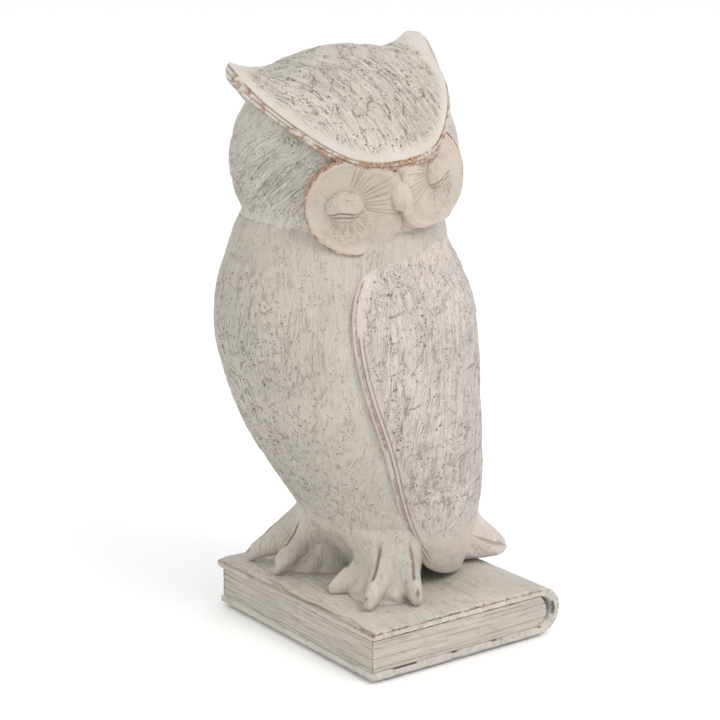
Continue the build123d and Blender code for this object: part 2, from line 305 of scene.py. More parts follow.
def whitewash(name, light, shade, lines=1.0, pitting=1.0, rubbing=1.0):
    """The whitewashed resin of one piece.

    The grain attribute is the place in mm, drawn together along the tool strokes, so plain noise on it
    gives streaks. The marks attribute holds how strongly a spot is tooled, how much brown wash lies in
    it, and how far it is rubbed through to the terracotta. On the breast and the feet the wash value
    also carries painted shadow, under the head and where the feet meet the board."""
    finish, add = new_finish(name, 0.86)
    place = object_place(add)
    grain = add("Attribute", {"attribute_name": "grain"}).node.outputs["Vector"]
    marks = add("Attribute", {"attribute_name": "marks"}).node.outputs["Vector"]
    tooled, wash_and_painted_shade, rubbed = add("SeparateXYZ", None, Vector=marks).node.outputs
    # The first colour is a dark grey laid into the valleys of the fine streaks: partly dust, partly
    # painted shade of the grooves.
    dust_and_groove_shade, pit_brown = (0.20, 0.175, 0.145, 1), (0.115, 0.090, 0.068, 1)
    umber, sienna = (0.150, 0.112, 0.080, 1), (0.25, 0.135, 0.082, 1)
    clay_dark, clay_pale = (0.17, 0.095, 0.060, 1), (0.47, 0.285, 0.20, 1)

    def times(first, second):
        return calc(add, "MULTIPLY", first, second)

    def plus(first, second):
        return calc(add, "ADD", first, second)

    def less(first, second):
        return calc(add, "SUBTRACT", first, second)

    def larger(first, second):
        return calc(add, "MAXIMUM", first, second)

    def fold(value):
        """How far a noise value is from its middle: sharp valleys along its level lines."""
        return calc(add, "ABSOLUTE", less(value, 0.5))

    def dots(scale, edge, core):
        """1 round the cell points of a Voronoi texture, 0 further away."""
        cells = add("TexVoronoi", None, Vector=place, Scale=scale, Randomness=1.0)
        return step(add, cells, edge, core)

    broad = fold(noise(add, grain, 0.30, 3.0, 0.5, 0.5))
    narrow = fold(noise(add, grain, 0.62, 3.0, 0.55, 1.0))
    hair = fold(noise(add, grain, 1.3, 2.0, 0.5, 0.3))
    allow = step(add, noise(add, grain, 0.27, 2.0), 0.48, 0.60)
    allow_short = step(add, noise(add, place, 190.0, 3.0, 0.6), 0.54, 0.65)
    long_lines = times(step(add, broad, 0.016, 0.003), allow)
    short_lines = times(step(add, narrow, 0.020, 0.003), allow_short)
    drawn = times(larger(long_lines, times(short_lines, 0.75)), tooled)

    specks = times(dots(800.0, 0.30, 0.17), step(add, noise(add, place, 260.0, 3.0, 0.65), 0.50, 0.60))
    holes = times(dots(430.0, 0.24, 0.13), step(add, noise(add, place, 110.0, 3.0, 0.7), 0.52, 0.60))
    pits = times(larger(specks, holes), step(add, tooled, 0.15, 0.75))

    clouds = noise(add, place, 38.0, 3.0, 0.55)
    grit = noise(add, place, 1500.0, 4.0, 0.7)
    # Partly dust and partly painted shade: the valleys of the narrow and hair streaks are greyed a
    # little so the grooves read as shaded.
    groove_dust_and_shade = times(plus(step(add, narrow, 0.05, 0.0), step(add, hair, 0.05, 0.0)), 0.035)
    earth = times(step(add, noise(add, place, 90.0, 3.0), 0.52, 0.66), 0.6)
    ground = tint(add, earth, umber, sienna)
    patchy = plus(noise(add, place, 520.0, 4.0, 0.75), less(rubbed, 1.0))
    clay = tint(add, step(add, noise(add, place, 900.0, 3.0, 0.7), 0.40, 0.62), clay_dark, clay_pale)
    colour = tint(add, step(add, clouds, 0.32, 0.68), shade, light)
    # Layers in order: dust with painted groove shade, drawn wash lines, pits, wash with painted shadow
    # from the marks, rubbed-through clay.
    for amount, over in (
            (times(groove_dust_and_shade, tooled), dust_and_groove_shade), (times(drawn, 0.60 * lines), ground),
            (times(pits, 0.78 * pitting), pit_brown), (times(wash_and_painted_shade, 0.90), ground),
            (times(step(add, patchy, 0.06, 0.30), 0.82 * rubbing), clay)):
        colour = tint(add, amount, colour, over)

    cut = plus(times(step(add, broad, 0.0, 0.09), 0.60), times(step(add, narrow, 0.0, 0.11), 0.45))
    cut = plus(cut, times(step(add, hair, 0.0, 0.15), 0.16))
    height = less(less(times(cut, tooled), times(drawn, 0.6)), times(pits, 0.8))
    height = plus(height, times(grit, 0.15))
    relief = add("Bump", None, Strength=1.0, Distance=0.0005, Height=height)
    add("shader", None, Base_Color=colour, Normal=relief, Specular_IOR_Level=0.25)
    return finish


PALE = (0.575, 0.540, 0.492, 1)
PALE_SHADE = (0.515, 0.487, 0.440, 1)

case_low, case_high = (np.array(corner) * 1000 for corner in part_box("book_case"))
page_low, page_high = (np.array(corner) * 1000 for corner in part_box("page_block"))
board = case_high[2] - page_high[2]
spine_middle = (case_low[2] + case_high[2]) / 2
spine_radius = (case_high[2] - case_low[2]) / 2
spine_start = 38.6
fore_edge = page_low[1]
# left of here the fore-edge lies a little deeper and the board above it juts out a little more
step_x = -12.3


def case_skin():
    """A flat board section, rounded at its corners, carried round the book.

    The path runs in the middle of the boards: along the lower board, round the spine and back
    along the upper board to the fore-edge. Each row is the section round the path there."""
    middle_radius = spine_radius - board / 2
    swell = case_high[1] - spine_start - spine_radius
    bottom = np.linspace(fore_edge, spine_start, 30)[:-1]
    turn = np.radians(np.linspace(-90, 90, 46))
    top = np.linspace(spine_start, fore_edge, 150)[1:]
    out_y = np.concatenate([0 * bottom, np.cos(turn), 0 * top])
    out_z = np.concatenate([0 * bottom - 1, np.sin(turn), 0 * top + 1])
    path_y = np.concatenate([bottom, spine_start + (middle_radius + swell) * np.cos(turn), top])
    path_z = spine_middle + middle_radius * out_z
    outer_count, edge_count, inner_count = 190, 7, 60
    down = np.linspace(1, -1, edge_count + 2)[1:-1]
    long_side = np.concatenate([
        np.linspace(-1, 1, outer_count), 0 * down + 1,
        np.linspace(1, -1, inner_count), 0 * down - 1])
    thick_side = np.concatenate([np.ones(outer_count), down, -np.ones(inner_count), -down])
    half = case_high[0]
    corner = 0.9
    x = long_side * half
    edge = np.clip(1 - (half - np.abs(x)) / corner, 0, 1)
    most = board / 2 - corner * (1 - np.sqrt(1 - edge ** 2))
    up = np.sign(thick_side) * np.minimum(np.abs(thick_side) * board / 2, most)
    # the first and last rows are thinner, which rounds the fore-edges of both boards
    ends = np.minimum(np.arange(len(path_y)), np.arange(len(path_y))[::-1])[:, None]
    up = up * np.where(ends == 0, 0.70, np.where(ends == 1, 0.93, 1.0))
    return np.stack(np.broadcast_arrays(
        x[None, :], path_y[:, None] + out_y[:, None] * up, path_z[:, None] + out_z[:, None] * up),
        -1).copy()


rows = case_skin()
x, y, z = (rows[..., k] for k in range(3))
on_top = ease((z - case_high[2] + 2.5) / 1.5)
lip = 1.6 * ease((step_x - x) / 5.0) * ease((-x - 8) / 30 + 0.3) * ease((-20 - y) / 25)
y -= lip * (z > spine_middle)
grain = np.stack([x * 0.16, y, z * 0.6], -1)
grain[..., 1] += 2.2 * (drift(rows * 0.05, 5) - 0.5)
height, wash = tooling(grain * 0.8, 0.45, 11)
near_edge = np.maximum(ease(1 - (case_high[0] - x) / 1.6), ease(1 - (y - fore_edge) / 1.8))
chips = ease((drift(rows * np.array([0.45, 0.45, 0.2]), 31) - 0.52) / 0.25)
chips = chips * near_edge * (0.25 + 0.75 * on_top)
rows = rows + outward(rows) * (height * 0.6 - 0.45 * chips)[..., None]
rows[..., 0] = np.clip(rows[..., 0], case_low[0], case_high[0])
rows[..., 2] = np.clip(rows[..., 2], case_low[2], case_high[2] + 0.15)
corner_line = bump(case_high[0] - x, 0.9) * on_top
fore_line = bump(y - fore_edge + lip, 0.9) * on_top
waver = drift(np.stack([x * 0.16, 0 * x, 0 * x + 7], -1), 9) - 0.5
crack_line = bump(y - fore_edge - 1.0 - 3.2 * waver, 0.32) * on_top * ease((x + 24) / 4)
marks = np.stack([
    0.35 + 0.25 * drift(rows * 0.08, 8),
    np.clip(wash * 0.6 + 0.4 * fore_line + 0.8 * crack_line, 0, 1),
    np.clip(0.75 * corner_line + 0.25 * fore_line, 0, 1)], -1)
cover_finish = whitewash("whitewash_cover", PALE, PALE_SHADE, 0.8, 0.6)
skin_piece("book_cover", rows, grain, marks, cover_finish, ["book_case"])


# ---- page block ----
# The pages, cast as one block with a rounded back. Lines were drawn along it by hand before
# the resin set, about six deep ones and many faint ones, and none of them is quite level.
def page_skin():
    """The block's level outline, a box with tight corners, repeated up its height."""
    half_x = page_high[0]
    front = np.linspace(-half_x, half_x, 230)[:-1]
    side = np.linspace(0, 1, 171)[:-1]
    back_side = np.linspace(half_x, -half_x, 90)[:-1]
    outline_x = np.concatenate([front, 0 * side + half_x, back_side, 0 * side - half_x])
    share = np.concatenate([0 * front, side, 0 * back_side + 1, 1 - side])
    level = np.linspace(page_low[2] - 0.2, page_high[2] + 0.2, 62)
    bulge = page_high[1] - spine_start
    half_height = page_high[2] - spine_middle + 1
    back = spine_start + bulge * (1 - ((level - spine_middle) / half_height) ** 2)
    y = fore_edge + share[None, :] * (back[:, None] - fore_edge)
    return np.stack(np.broadcast_arrays(outline_x[None, :], y, level[:, None]), -1).copy()


rows = page_skin()
x, y, z = (rows[..., k] for k in range(3))
wander = 0.9 * (drift(np.stack([x * 0.035, y * 0.035, z * 0.05], -1), 3) - 0.5)
leaf = z + wander * 1.6
deep = np.zeros(x.shape)
for number, level in enumerate((6.3, 8.3, 10.6, 12.4, 14.9, 17.0)):
    gaps = drift(np.stack([x * 0.05, y * 0.05, 0 * x + number * 3.7], -1), 40 + number)
    deep = np.maximum(deep, bump(leaf - level, 0.26) * ease((gaps - 0.34) / 0.16))
fine = drift(np.stack([x * 0.04, y * 0.04, leaf * 1.9], -1), 60) - 0.5
faint = bump(fine, 0.10) * ease((drift(rows * np.array([0.09, 0.09, 0.6]), 61) - 0.4) / 0.2)
behind = 0.9 * ease((step_x - x) / 0.8) * (y < fore_edge + 6)
rows = rows + outward(rows) * (0.35 * fine - 0.42 * deep - 0.16 * faint - behind)[..., None]
corner_line = bump(np.hypot(page_high[0] - x, y - fore_edge), 1.1)
step_line = bump(x - step_x + 0.4, 0.5) * (y < fore_edge + 6)
grain = np.stack([x * 0.1, y * 0.1, leaf * 1.15], -1)
marks = np.stack([
    0 * x + 0.35, np.clip(0.26 * deep + 0.08 * faint + 0.3 * step_line, 0, 1),
    0.8 * corner_line], -1)
page_finish = whitewash(
    "whitewash_pages", (0.50, 0.465, 0.42, 1), (0.45, 0.42, 0.375, 1), 0.9, 0.35)
skin_piece("page_stack", rows, grain, marks, page_finish, ["page_block"], flat_ends=True)


# ---- torso ----
# The breast and back of the owl, one hollow casting of resin. It was combed downwards with a
# toothed tool, most strongly over the belly. Its joints with legs and head are filled, so its
# skin runs a few mm into theirs and no line shows.
def smooth_line(at, stations, values):
    """A natural cubic curve through values at rising stations, read at other places."""
    stations = np.asarray(stations, float)
    values = np.asarray(values, float)
    gap = np.diff(stations)
    slope = np.diff(values, axis=0) / gap.reshape(-1, *[1] * (values.ndim - 1))
    count = len(stations)
    left = np.eye(count)
    right = np.zeros(values.shape)
    for row in range(1, count - 1):
        left[row, row - 1: row + 2] = gap[row - 1], 2 * (gap[row - 1] + gap[row]), gap[row]
        right[row] = 6 * (slope[row] - slope[row - 1])
    bend = np.linalg.solve(left, right.reshape(count, -1)).reshape(values.shape)
    at = np.asarray(at, float)
    cell = np.clip(np.searchsorted(stations, at) - 1, 0, count - 2)
    shape = at.shape + (1,) * (values.ndim - 1)
    width = gap[cell].reshape(shape)
    low = (stations[cell + 1] - at).reshape(shape) / width
    high = 1 - low
    bent = (low ** 3 - low) * bend[cell] + (high ** 3 - high) * bend[cell + 1]
    return low * values[cell] + high * values[cell + 1] + bent * width ** 2 / 6


torso_low, torso_high = (np.array(corner) * 1000 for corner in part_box("torso"))
hip = torso_low[2]
neck = torso_high[2]
book_top = case_high[2]
half_width = 49.5
half_depth = 52.8
# share of the height, centre in Y, shares of the half width and of the half depth
torso_stations = np.array([
    (0.00, -6.0, 0.715, 0.585), (0.13, -8.0, 0.82, 0.75), (0.31, -15.0, 0.93, 0.90),
    (0.50, -20.5, 0.99, 0.985), (0.68, -24.5, 1.00, 1.00), (0.86, -26.2, 0.93, 0.905),
    (1.00, -24.0, 0.855, 0.828), (1.03, -23.7, 0.835, 0.81)])


def torso_ring(level):
    """Centre in Y and half widths of the torso at a height."""
    share = (np.asarray(level) - hip) / (neck - hip)
    values = smooth_line(share, torso_stations[:, 0], torso_stations[:, 1:])
    return values[..., 0], values[..., 1] * half_width, values[..., 2] * half_depth


def combed(place):
    """Grain of the breast: the place drawn together up and down, pushed about by slow noise."""
    pushed = place.copy()
    pushed[..., 0] += 5.0 * (drift(place * 0.045, 21) - 0.5) + 1.6 * (drift(place * 0.14, 22) - 0.5)
    pushed[..., 1] += 4.0 * (drift(place * 0.045, 23) - 0.5)
    pushed[..., 2] *= 0.15
    return pushed


def belly(place):
    """How strongly the breast is tooled: most over its middle, little at the neck and the feet."""
    middle = bump(place[..., 0] + 8, 34) * ease((place[..., 2] - 40) / 30)
    return 0.35 + 0.65 * middle * ease((neck + 2 - place[..., 2]) / 35)


def cracks(across, along, low, high, count, seed):
    """Short ragged cracks, most of them lying across the strokes, as 0 to 1 on a flat map in mm.

    Each one is a wavy line of some length and tilt about its own middle, narrow and tapered."""
    chance = np.random.default_rng(seed)
    deepest = np.zeros(across.shape)
    reach = 8
    for number in range(count):
        middle = chance.uniform(low, high)
        length = chance.uniform(2.0, 6.0)
        tilt = chance.normal(0.1, 0.5)
        near = (np.abs(across - middle[0]) < reach) & (np.abs(along - middle[1]) < reach)
        beside, above = across[near] - middle[0], along[near] - middle[1]
        run = beside * math.cos(tilt) + above * math.sin(tilt)
        off = above * math.cos(tilt) - beside * math.sin(tilt)
        wave = drift(np.stack([run * 0.55 + 50, 0 * run + number, 0 * run], -1), seed) - 0.5
        crack = bump(off - 2.6 * wave, 0.36) * ease((length / 2 - np.abs(run)) / 1.2)
        deepest[near] = np.maximum(deepest[near], crack)
    return deepest


neck_y = -24.0
face_way = np.array([0.982, -0.191, 0.0])


def throat(place):
    """The bulge under the beak, pushed the way the face looks, as vectors in mm.

    It is widest at the seam between head and breast and dies away above and below it."""
    behind = place[..., 1] - neck_y
    aside = behind * face_way[0] - place[..., 0] * face_way[1]
    ahead = place[..., 0] * face_way[0] + behind * face_way[1]
    bulge = bump(aside + 1, 15) * bump(place[..., 2] - neck - 1, 9) * ease((ahead - 4) / 24)
    return 4.4 * bulge[..., None] * face_way


turn = np.linspace(-1, 1, 341)[:-1]
turn = math.pi * (0.62 * turn + 0.38 * turn ** 3)
level = np.linspace(hip - 4, neck + 4, 218)
centre, wide, deep = torso_ring(np.clip(level, hip, neck))
inside = 1.3 * np.clip(hip - level, 0, None) + 0.5 * np.clip(level - neck, 0, None)
rows = np.stack([
    wide[:, None] * np.sin(turn), centre[:, None] - deep[:, None] * np.cos(turn),
    np.repeat(level[:, None], len(turn), 1)], -1)
grain = combed(rows)
amount = belly(rows)
height, wash = tooling(grain, 1.0, 70)
body_height = neck - book_top
# the wing's front edge: share of the body's height, place in Y as a share of the half depth
front_edge = np.array([
    (0.00, 0.21), (0.03, 0.10), (0.195, -0.30), (0.42, -0.62), (0.60, -0.85), (0.80, -0.956),
    (0.935, -0.76), (1.02, -0.42)])
wing_front = half_depth * smooth_line(
    (level - book_top) / body_height, front_edge[:, 0], front_edge[:, 1])
wing_start = np.arccos(np.clip((centre - wing_front) / deep, -1, 1))
before_wing = (np.abs(turn)[None] - wing_start[:, None]) * wide[:, None]
channel_run = ease((neck - 6 - level) / 14) * ease((level - hip) / 16)
channel = 1.7 * bump(before_wing - 1.5, 4.0) * channel_run[:, None]
split = cracks(rows[..., 0], rows[..., 2], (-42, 62), (24, 150), 60, 75)
split = split * (np.abs(turn) < 2.0) * amount
rows = rows + throat(rows)
lift = height * amount * 0.8 - 0.25 - channel - 0.5 * split - inside[:, None]
rows = rows + outward(rows) * lift[..., None] * np.array([1, 1, 0])
rows[..., 1] = np.maximum(rows[..., 1], torso_low[1])
# Painted shadow of the head: the upper breast takes a little more brown wash the nearer it is to the
# neck.
painted_head_shadow = 0.10 * ease((rows[..., 2] - neck + 45) / 40)
marks = np.stack([
    amount, np.clip(wash * amount + 0.85 * split + painted_head_shadow, 0, 1), 0 * amount], -1)
breast_finish = whitewash(
    "whitewash_breast", (0.52, 0.485, 0.437, 1), (0.468, 0.438, 0.392, 1), 1.15, 1.1)
skin_piece("breast", rows, grain, marks, breast_finish, ["torso"], flat_ends=True)


# ---- legs and feet ----
# Two castings that meet in one mass under the belly. Each leg flares from the torso and spreads
# into three toes on the book. The toes were pulled out of the soft model, so they run smoothly
# into the leg, with a scored and rubbed crest along each one.
leg_x = 19.8


def ring_stack(centres, widths, depths, levels, around=72):
    """Level ellipses one above another, as a grid."""
    angle = np.linspace(0, 2 * math.pi, around, endpoint=False)
    return np.stack([
        centres[:, 0, None] + widths[:, None] * np.cos(angle),
        centres[:, 1, None] + depths[:, None] * np.sin(angle),
        np.repeat(levels[:, None], around, 1)], -1)


def tube(line, radii, squash=1.0, keel=0.0, around=60):
    """Circles, or ovals, carried along a line of points, with a crest along the top."""
    line = np.asarray(line, float)
    way = np.gradient(line, axis=0)
    way /= np.linalg.norm(way, axis=1, keepdims=True)
    across = np.cross(way, [0.0, 0.0, 1.0])
    across /= np.linalg.norm(across, axis=1, keepdims=True)
    upward = np.cross(across, way)
    angle = np.linspace(0, 2 * math.pi, around, endpoint=False)
    height = squash * np.sin(angle) + keel * np.clip(np.sin(angle), 0, 1) ** 9
    return line[:, None] + radii[:, None, None] * (
        across[:, None] * np.cos(angle)[:, None] + upward[:, None] * height[:, None])


def toe_line(side, tip, height, knuckle):
    """The line of one toe, from inside the ankle over its knuckle to the claw."""
    start = np.array([side * 0.85 * leg_x + 0.15 * tip[0], -0.20 * half_depth, book_top + height])
    end = np.array([tip[0], tip[1], book_top + 1.5])
    middle = start + (end - start) * 0.55 + np.array([0, 0, knuckle])
    share = np.linspace(0, 1, 26)
    return smooth_line(share, [0, 0.55, 1], np.array([start, middle, end]))


# side, place of the tip, height of the root, lift of the knuckle, thickness of the root
toes = [
    (1, (9.4, -37.0), 21.0, -3.5, 8.5), (1, (36.1, -37.0), 26.0, -2.0, 9.0),
    (1, (44.0, -16.4), 22.0, -1.5, 8.5), (-1, (-15.0, -24.0), 20.0, -4.0, 8.5),
    (-1, (-22.6, -43.6), 30.0, 0.0, 8.5), (-1, (-45.6, -42.2), 17.0, 2.6, 12.0)]


def grown(grids):
    """One mesh that holds several closed grids, before they are grown together."""
    points = np.vstack([grid.reshape(-1, 3) for grid in grids])
    faces = []
    first = 0
    for grid in grids:
        count, around = grid.shape[:2]
        quads = quad_numbers(count, around)
        flip = turned_out(grid.reshape(-1, 3), quads) < 0
        start = np.arange(around)[::-1]
        stop = np.arange((count - 1) * around, count * around)
        if flip:
            quads, start, stop = quads[:, ::-1], start[::-1], stop[::-1]
        faces += (quads + first).tolist() + [(start + first).tolist(), (stop + first).tolist()]
        first += count * around
    whole = bpy.data.meshes.new("grown")
    whole.from_pydata((points * 0.001).tolist(), [], faces)
    return whole


def relaxed(points, edges, rounds, share=1.0):
    """Each point moved half way, or a share of it, to the mean of its neighbours, some times."""
    ends = np.concatenate([edges[:, 0], edges[:, 1]])
    others = np.concatenate([edges[:, 1], edges[:, 0]])
    count = np.bincount(ends, minlength=len(points)).astype(float)[:, None]
    for _ in range(rounds):
        total = np.stack([np.bincount(ends, points[others, k], len(points)) for k in range(3)], -1)
        points = points + 0.5 * share * (total / count - points)
    return points


def melted(mesh, voxel, rounds):
    """Closed shells joined into one skin by a voxel remesh, whose points are then relaxed."""
    holder = bpy.data.objects.new("melting", mesh)
    bpy.context.scene.collection.objects.link(holder)
    remesh = holder.modifiers.new("join", "REMESH")
    remesh.mode = "VOXEL"
    remesh.voxel_size = voxel
    graph = bpy.context.evaluated_depsgraph_get()
    joined = bpy.data.meshes.new_from_object(holder.evaluated_get(graph))
    bpy.data.objects.remove(holder)
    points = np.zeros(len(joined.vertices) * 3)
    joined.vertices.foreach_get("co", points)
    points = points.reshape(-1, 3) * 1000
    edges = np.zeros(len(joined.edges) * 2, np.int64)
    joined.edges.foreach_get("vertices", edges)
    edges = edges.reshape(-1, 2)
    faces = np.zeros(len(joined.loops), np.int64)
    joined.loops.foreach_get("vertex_index", faces)
    faces = faces.reshape(-1, 4)
    points = relaxed(points, edges, rounds)
    return points, edges, faces


def point_normals(points, faces):
    """Unit normals of the points of a mesh of four-cornered faces."""
    a, b, c, d = (points[faces[:, k]] for k in range(4))
    face = np.cross(c - a, d - b)
    total = np.zeros(points.shape)
    for k in range(4):
        for axis in range(3):
            total[:, axis] += np.bincount(faces[:, k], face[:, axis], len(points))
    return total / (np.linalg.norm(total, axis=1, keepdims=True) + 1e-12)


share = np.linspace(0, 1, 24)
grids = []
for side in (1, -1):
    values = smooth_line(share, [0, 0.5, 0.8, 1, 1.25], np.array([
        (side * leg_x, -13.5, 13.0, 14.0), (side * leg_x, -12.0, 12.4, 15.0),
        (side * 0.9 * leg_x, -9.0, 16.2, 23.0), (side * 0.86 * leg_x, -6.5, 17.4, 26.6),
        (side * 0.84 * leg_x, -6.0, 17.6, 27.0)]))
    levels = book_top - 1.5 + share * (hip + 2 - book_top)
    grids.append(ring_stack(values[:, :2], values[:, 2], values[:, 3], levels))
# the rounded underside of the body, from 11 mm below the hips upwards
levels = np.linspace(hip - 11, hip + 9, 40)
drop = np.sqrt(np.clip(1 - np.clip((hip - levels) / 11, 0, 1) ** 2, 0, 1))
centre, wide, deep = torso_ring(np.maximum(levels, hip))
grids.append(ring_stack(
    np.stack([0 * centre, centre], -1), wide * (0.15 + 0.85 * drop) - 0.25,
    deep * (0.15 + 0.85 * drop) - 0.25, levels, 120))
crests = []
for side, tip, root_height, knuckle, root in toes:
    line = toe_line(side, tip, root_height, knuckle)
    run = np.linspace(0, 1, len(line))
    radius = smooth_line(run, [0, 0.55, 0.88, 1], [root, 0.55 * root, 2.8, 1.7])
    grids.append(tube(line, radius, 1.2, 0.45))
    crests.append(line + np.array([0, 0, 1.0]) * radius[:, None] * 1.65)
# webs between neighbouring toes
for first, second in ((0, 1), (1, 2), (3, 4), (4, 5)):
    side = toes[first][0]
    tip = 0.5 * (np.array(toes[first][1]) + np.array(toes[second][1]))
    ankle = np.array([side * 0.85 * leg_x, -0.2 * half_depth])
    web = toe_line(side, ankle + 0.80 * (tip - ankle), 21.0, -3.0)
    grids.append(tube(web, smooth_line(np.linspace(0, 1, len(web)), [0, 0.55, 1], [9.0, 7.0, 3.0])))
# the spread foot of each leg on the board
for side, base_x, base_y, base in ((1, 23.0, -19.5, 14.5), (-1, -28.0, -23.0, 14.0)):
    skirt = np.linspace(0, 1, 16)
    narrowing = (1 - skirt) ** 1.5
    skirt_x = side * leg_x + (base_x - side * leg_x) * narrowing
    skirt_y = -12.0 + (base_y + 12.0) * narrowing
    grids.append(ring_stack(
        np.stack([skirt_x, skirt_y], -1), 9.0 + (base - 9.0) * narrowing,
        10.0 + (base - 10.0) * narrowing, book_top - 1.5 + skirt * 30))
# the mass between the legs
up = np.linspace(0, 1, 26)
front_y = -10.0 - 25.0 * up ** 0.9
back_y = 14.0 + 3.0 * up
grids.append(ring_stack(
    np.stack([0 * up, (front_y + back_y) / 2], -1), 17.0 + 4.0 * up, (back_y - front_y) / 2,
    book_top - 1.5 + up * (hip + 1.5 - book_top), 90))
points, edges, faces = melted(grown(grids), 0.00062, 6)
soft = ease((points[:, 2] - book_top - 8) / 14) * ease((hip - points[:, 2]) / 6)
points = relaxed(points, edges, 260, soft[:, None])
normal = point_normals(points, faces)
grain = combed(points)
tread = ease((points[:, 2] - book_top - 1) / 4)
amount = belly(points) * tread
height, wash = tooling(grain, 1.0, 70)
# distances to a crest line are taken almost level, so that it marks the surface below it
level_weight = np.array([1.0, 1.0, 0.07])
crest = np.full(len(points), 99.0)
for line in crests:
    at = np.linspace(7, 25, 70)
    dense = np.stack([np.interp(at, np.arange(26), line[:, k]) for k in range(3)], -1)
    sway = np.stack([drift(dense * 0.22, 76), drift(dense * 0.22, 77), 0.5 + 0 * at], -1) - 0.5
    near = np.flatnonzero(np.abs(points[:, :2] - dense[30, :2]).max(1) < 26)
    apart = (points[near, None] - dense[None] - 1.6 * sway[None]) * level_weight
    crest[near] = np.minimum(crest[near], np.linalg.norm(apart, axis=2).min(1))
crest_line = bump(crest, 0.70) * (normal[:, 2] > -0.1) * ease((hip - 3 - points[:, 2]) / 6)
crest_line = crest_line * ease((drift(points * 0.2, 78) - 0.36) / 0.12)
lift = (height * amount * 0.8 - 0.3 * crest_line) * (normal[:, 2] > -0.9)
points = points + normal * lift[:, None]
# Painted contact shadow: the lowest mm of each foot, where it stands on the board, is washed brown.
painted_board_shadow = ease((book_top + 1.0 - points[:, 2]) / 0.8)
marks = np.stack([
    amount, np.clip(wash * amount + 0.55 * painted_board_shadow + 1.2 * crest_line, 0, 1),
    0.55 * bump(crest, 1.2) * (crest_line > 0.001)], -1)
points = points - normal * (0.4 * np.clip(points[:, 2] - hip, 0, None))[:, None]
points[:, 2] = np.maximum(points[:, 2], book_top - 0.3)
whole = write_mesh("legs", points, faces.tolist(), grain, marks)


def part_of(mesh, name, cuts):
    """The part of a closed mesh on the inner side of some planes, with the cuts filled."""
    shape = bmesh.new()
    shape.from_mesh(mesh)
    for spot, way in cuts:
        cut = bmesh.ops.bisect_plane(
            shape, geom=shape.verts[:] + shape.edges[:] + shape.faces[:],
            plane_co=Vector(spot) * 0.001, plane_no=way, clear_outer=True)
        rim = [item for item in cut["geom_cut"] if isinstance(item, bmesh.types.BMEdge)]
        filled = bmesh.ops.holes_fill(shape, edges=rim, sides=0)["faces"]
        for face in bmesh.ops.triangulate(shape, faces=filled)["faces"]:
            face.smooth = False
    part = bpy.data.meshes.new(name)
    shape.to_mesh(part)
    shape.free()
    return part


for side, name, node in (
        (1, "left_foot_casting", "left_leg"), (-1, "right_foot_casting", "right_leg")):
    half_mesh = part_of(
        whole, name, [((0, 0, hip + 2.5), (0, 0, 1)), ((side * 0.03, 0, 0), (-side, 0, 0))])
    put_piece(name, half_mesh, breast_finish, [node])


# ---- wings ----
# Each wing is a leaf of resin cast on its own and pinned to the side of the torso. Its front
# edge is a steep wall with a scored double line, its back edge is feathered down to the back.
ROSE = (0.60, 0.545, 0.505, 1)
ROSE_SHADE = (0.53, 0.48, 0.445, 1)
wing_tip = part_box("left_wing")[0][2] * 1000
wing_top = neck - 1.0
wing_half_width = 53.1
wing_half_depth = 55.32
wing_thick = 9.0
# share of the body's height, centre in Y, shares of the half width and of the half depth
wing_stations = np.array([
    (0.00, 8.0, 0.47, 0.49), (0.10, 4.5, 0.65, 0.57), (0.20, 1.5, 0.765, 0.665),
    (0.32, -4.5, 0.865, 0.78), (0.45, -12.7, 0.945, 0.895), (0.60, -18.7, 1.00, 0.97),
    (0.72, -21.8, 1.015, 1.00), (0.84, -23.6, 0.965, 0.945), (0.94, -24.8, 0.855, 0.83),
    (1.00, -24.0, 0.77, 0.75)])


def wing_skin(side):
    """A flattened oval, drawn out round the body, for each level from the tip to the shoulder.

    The oval's middle line follows the body's side from the front edge to the back edge. Its
    outer half lies on the wing's own form, its inner half is sunk into the torso."""
    share = np.linspace(0, 1, 250)
    level = wing_tip + (wing_top - wing_tip) * share
    height = (level - book_top) / body_height
    values = smooth_line(height, wing_stations[:, 0], wing_stations[:, 1:])
    centre = values[:, 0]
    wide, deep = values[:, 1] * wing_half_width, values[:, 2] * wing_half_depth
    front = smooth_line(height, front_edge[:, 0], front_edge[:, 1]) * half_depth
    start = np.arccos(np.clip((centre - front) / deep, -1, 1))
    gap = 3.2 + 9.0 * np.clip(1 - level / 71.5, 0, 1)
    end = math.pi - np.arcsin(np.clip(gap / wide, 0, 1))
    tip = np.clip((level - wing_tip) / 9.0, 0, 1)
    shoulder = np.clip((wing_top - level) / 14.0, 0, 1)
    closing = (1 - (1 - tip) ** 2.4) ** (1 / 2.4) * (1 - (1 - shoulder) ** 2.2) ** (1 / 2.2)
    angle = np.linspace(0, 2 * math.pi, 330, endpoint=False)
    lap = np.sign(np.cos(angle)) * np.abs(np.cos(angle)) ** (2 / 4.5)
    lift = np.sign(np.sin(angle)) * np.abs(np.sin(angle)) ** (2 / 3.4)
    middle = (start + end) / 2
    half = (end - start) / 2 * (0.10 + 0.90 * closing)
    turn = middle[:, None] - half[:, None] * lap
    radial = (lift - 1) * wing_thick / 2 * (0.25 + 0.75 * closing[:, None])
    ring_x = np.sin(turn) * wide[:, None]
    ring_y = -np.cos(turn) * deep[:, None]
    length = np.hypot(ring_x, ring_y)
    rows = np.stack([
        side * (ring_x + ring_x / length * radial),
        centre[:, None] + ring_y + ring_y / length * radial,
        np.repeat(level[:, None], len(angle), 1)], -1)
    edge = (turn - start[:, None]) * length
    return rows, edge, lift[None, :] + 0 * turn


